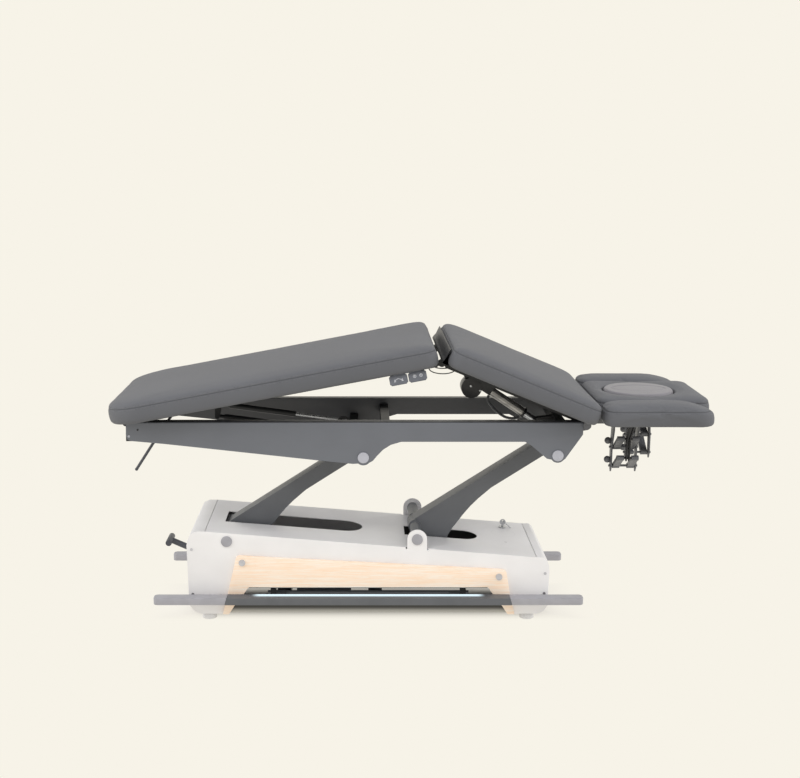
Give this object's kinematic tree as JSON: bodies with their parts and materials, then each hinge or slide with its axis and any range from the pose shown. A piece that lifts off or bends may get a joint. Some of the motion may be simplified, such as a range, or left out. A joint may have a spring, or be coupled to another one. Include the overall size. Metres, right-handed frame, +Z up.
{
  "type": "adjustable treatment table",
  "caption": "Height-adjustable treatment table: padded folding top with face-hole head section, drop armrests, parallel lift arms and a low base with foot bars and hidden castors.",
  "frame": {"origin": "middle of the whole table in plan, on the floor under the feet", "axes": "+X along the table from the foot end to the head end, +Y across it to the side away from the keypads, +Z up"},
  "size_m": [2.038, 0.668, 0.9766],
  "materials": {
    "white_sheet": "satin white powder coat",
    "grey_sheet": "fine textured grey powder coat",
    "arm_sheet": "fine textured grey powder coat",
    "black_sheet": "satin black powder coat",
    "bar_sheet": "textured dark grey powder coat",
    "steel": "bright zinc-plated steel",
    "wood": "pale birch-look laminate, straight grain",
    "board": "black-stained board",
    "upholstery": "grey leather-look vinyl with fine grain",
    "flap_vinyl": "black vinyl",
    "pale_plastic": "matte pale grey plastic",
    "dark_plastic": "matte black plastic",
    "grey_plastic": "matte grey plastic",
    "foot_rubber": "grey rubber",
    "light": "clear-to-white light diffuser"
  },
  "bodies": {
    "base": {"base_casing": "white_sheet", "end_caps": "white_sheet", "chassis": "black_sheet", "lower_axles": "steel", "lower_pivot_caps": "pale_plastic", "rubber_feet": "foot_rubber", "wood_panel_near": "wood", "wood_panel_far": "wood", "side_screws": "pale_plastic", "light_strips": "light", "control_box": "dark_plastic", "lift_actuator": "grey_plastic", "key_switch": "steel"},
    "foot_bar_n": {"foot_bar_near": "bar_sheet", "bar_sleeves_near": "pale_plastic"},
    "foot_bar_f": {"foot_bar_far": "bar_sheet", "bar_sleeves_far": "pale_plastic"},
    "pedal": {"castor_pedal": "grey_plastic"},
    "carriage_f": {"castor_carriage_foot": "steel"},
    "wheels_f": {"castor_wheels_foot": "grey_plastic"},
    "carriage_h": {"castor_carriage_head": "steel"},
    "wheels_h": {"castor_wheels_head": "grey_plastic"},
    "lock_key": {"key": "steel"},
    "second_key": {"spare_key": "steel"},
    "foot_arm": {"arm_foot": "arm_sheet"},
    "head_arm": {"arm_head": "arm_sheet"},
    "rod": {"lift_rod": "steel"},
    "upper_frame": {"rail_near": "grey_sheet", "rail_far": "grey_sheet", "cross_members": "black_sheet", "upper_axles": "steel", "upper_pivot_caps": "pale_plastic", "frame_brackets": "black_sheet", "hinge_tube": "pale_plastic"},
    "lever": {"release_lever": "dark_plastic"},
    "mid_section": {"mid_cushion": "upholstery", "mid_board": "board", "mid_frame": "black_sheet", "gap_flap": "flap_vinyl"},
    "tilt_drive": {"tilt_motor": "dark_plastic", "tilt_conduit": "grey_plastic"},
    "tilt_ram": {"tilt_rod": "steel"},
    "leg_section": {"leg_cushion": "upholstery", "leg_board": "board", "leg_frame": "black_sheet", "keypads": "grey_plastic"},
    "struts": {"strut_cylinders": "black_sheet"},
    "strut_ram": {"strut_rods": "steel"},
    "head_section": {"head_cushion": "upholstery", "head_board": "board", "head_frame": "grey_sheet"},
    "plug": {"face_plug": "upholstery"},
    "rest_n": {"armrest_near": "upholstery", "rest_carrier_near": "board"},
    "rest_f": {"armrest_far": "upholstery", "rest_carrier_far": "board"},
    "link_un": {"link_upper_near": "arm_sheet"},
    "link_ln": {"link_lower_near": "arm_sheet"},
    "link_uf": {"link_upper_far": "arm_sheet"},
    "link_lf": {"link_lower_far": "arm_sheet"}
  },
  "joints": [
    {"name": "foot_bar_near_press", "type": "hinge", "parent": "base", "child": "foot_bar_n", "pos_m": [-0.14401, -0.165, 0.089], "axis": [1, 0, 0], "range_deg": [-4, 4], "stiffness_Nm_per_rad": 200, "springref_deg": -1.63},
    {"name": "foot_bar_far_press", "type": "hinge", "parent": "base", "child": "foot_bar_f", "pos_m": [-0.14401, 0.165, 0.089], "axis": [-1, 0, 0], "range_deg": [-4, 4], "stiffness_Nm_per_rad": 200, "springref_deg": -1.63},
    {"name": "castor_pedal_turn", "type": "hinge", "parent": "base", "child": "pedal", "pos_m": [-0.85501, 0, 0.2295], "axis": [0.9135, 0, -0.4067], "range_deg": [0, 30]},
    {"name": "castor_carriage_foot_slide", "type": "slide", "parent": "base", "child": "carriage_f", "axis": [0, 0, -1], "range_m": [0, 0.028]},
    {"name": "castor_wheels_foot_spin", "type": "hinge", "parent": "carriage_f", "child": "wheels_f", "pos_m": [-0.61401, 0, 0.033], "axis": [0, 1, 0], "continuous": true},
    {"name": "castor_carriage_head_slide", "type": "slide", "parent": "base", "child": "carriage_h", "axis": [0, 0, -1], "range_m": [0, 0.028]},
    {"name": "castor_wheels_head_spin", "type": "hinge", "parent": "carriage_h", "child": "wheels_h", "pos_m": [0.32599, 0, 0.033], "axis": [0, 1, 0], "continuous": true},
    {"name": "key_turn", "type": "hinge", "parent": "base", "child": "lock_key", "pos_m": [0.35298, 0.127, 0.2356], "axis": [0.0805, 0, 0.9968], "range_deg": [0, 90]},
    {"name": "spare_key_swing", "type": "hinge", "parent": "lock_key", "child": "second_key", "pos_m": [0.35505, 0.127, 0.26124], "axis": [0, -1, 0], "range_deg": [0, 60]},
    {"name": "table_lift", "type": "hinge", "parent": "base", "child": "foot_arm", "pos_m": [-0.63101, 0, 0.286], "axis": [0, -1, 0], "range_deg": [-27, 26]},
    {"name": "frame_level", "type": "hinge", "parent": "foot_arm", "child": "upper_frame", "pos_m": [-0.16156, 0, 0.58854], "axis": [0, -1, 0], "range_deg": [-27, 27]},
    {"name": "arm_head_lift", "type": "hinge", "parent": "base", "child": "head_arm", "pos_m": [0.02399, 0, 0.293], "axis": [0, -1, 0], "range_deg": [-27, 27]},
    {"name": "lift_rod_slide", "type": "slide", "parent": "base", "child": "rod", "axis": [1, 0, 0], "range_m": [-0.0545, 0.0525]},
    {"name": "mid_tilt", "type": "hinge", "parent": "upper_frame", "child": "mid_section", "pos_m": [0.58798, 0, 0.7], "axis": [0, -1, 0], "range_deg": [0, 22.5]},
    {"name": "leg_fold", "type": "hinge", "parent": "mid_section", "child": "leg_section", "pos_m": [0.10295, 0, 0.90091], "axis": [0, -1, 0], "range_deg": [-33.3, 0]},
    {"name": "tilt_motor_swing", "type": "hinge", "parent": "mid_section", "child": "tilt_drive", "pos_m": [0.20109, 0, 0.83211], "axis": [0, -1, 0], "range_deg": [0, 8.4]},
    {"name": "tilt_rod_slide", "type": "slide", "parent": "tilt_drive", "child": "tilt_ram", "axis": [0.8318, 0, -0.5551], "range_m": [-0.0321, 0]},
    {"name": "strut_swing", "type": "hinge", "parent": "leg_section", "child": "struts", "pos_m": [-0.66388, 0, 0.70475], "axis": [0, -1, 0], "range_deg": [0, 17.9]},
    {"name": "strut_slide", "type": "slide", "parent": "struts", "child": "strut_ram", "axis": [0.9912, 0, -0.1324], "range_m": [0, 0.0595]},
    {"name": "head_tilt", "type": "hinge", "parent": "upper_frame", "child": "head_section", "pos_m": [0.58798, 0, 0.7], "axis": [0, 1, 0], "range_deg": [0, 45]},
    {"name": "face_plug_lift", "type": "slide", "parent": "head_section", "child": "plug", "axis": [0, 0, 1], "range_m": [0, 0.12]},
    {"name": "armrest_near_lower", "type": "hinge", "parent": "head_section", "child": "link_un", "pos_m": [0.74099, -0.1, 0.596], "axis": [1, 0, 0], "range_deg": [0, 92]},
    {"name": "armrest_near_level", "type": "hinge", "parent": "link_un", "child": "rest_n", "pos_m": [0.74099, -0.17013, 0.63982], "axis": [1, 0, 0], "range_deg": [-92, 0]},
    {"name": "link_lower_near_turn", "type": "hinge", "parent": "head_section", "child": "link_ln", "pos_m": [0.74099, -0.1, 0.529], "axis": [1, 0, 0], "range_deg": [0, 92]},
    {"name": "armrest_far_lower", "type": "hinge", "parent": "head_section", "child": "link_uf", "pos_m": [0.83298, 0.1, 0.596], "axis": [-1, 0, 0], "range_deg": [0, 92]},
    {"name": "armrest_far_level", "type": "hinge", "parent": "link_uf", "child": "rest_f", "pos_m": [0.83298, 0.17013, 0.63982], "axis": [-1, 0, 0], "range_deg": [-92, 0]},
    {"name": "link_lower_far_turn", "type": "hinge", "parent": "head_section", "child": "link_lf", "pos_m": [0.83298, 0.1, 0.529], "axis": [-1, 0, 0], "range_deg": [0, 92]},
    {"name": "release_lever_pull", "type": "hinge", "parent": "upper_frame", "child": "lever", "pos_m": [-0.85601, 0, 0.66], "axis": [0, 1, 0], "range_deg": [0, 15], "stiffness_Nm_per_rad": 2}
  ],
  "couplings": [
    {"joint": "castor_pedal_turn", "follows": "castor_carriage_foot_slide", "rad_per_m": 18.7},
    {"joint": "castor_carriage_head_slide", "follows": "castor_carriage_foot_slide", "ratio": 1},
    {"joint": "frame_level", "follows": "table_lift", "ratio": -1},
    {"joint": "arm_head_lift", "follows": "table_lift", "ratio": 1},
    {"joint": "lift_rod_slide", "follows": "table_lift", "m_per_rad": 0.1127},
    {"joint": "leg_fold", "follows": "mid_tilt", "ratio": -1.48},
    {"joint": "tilt_motor_swing", "follows": "mid_tilt", "ratio": 0.37},
    {"joint": "tilt_rod_slide", "follows": "mid_tilt", "m_per_rad": -0.0815},
    {"joint": "strut_swing", "follows": "mid_tilt", "ratio": 0.7925},
    {"joint": "strut_slide", "follows": "mid_tilt", "m_per_rad": 0.1511},
    {"joint": "armrest_near_level", "follows": "armrest_near_lower", "ratio": -1},
    {"joint": "link_lower_near_turn", "follows": "armrest_near_lower", "ratio": 1},
    {"joint": "armrest_far_level", "follows": "armrest_far_lower", "ratio": -1},
    {"joint": "link_lower_far_turn", "follows": "armrest_far_lower", "ratio": 1}
  ]
}
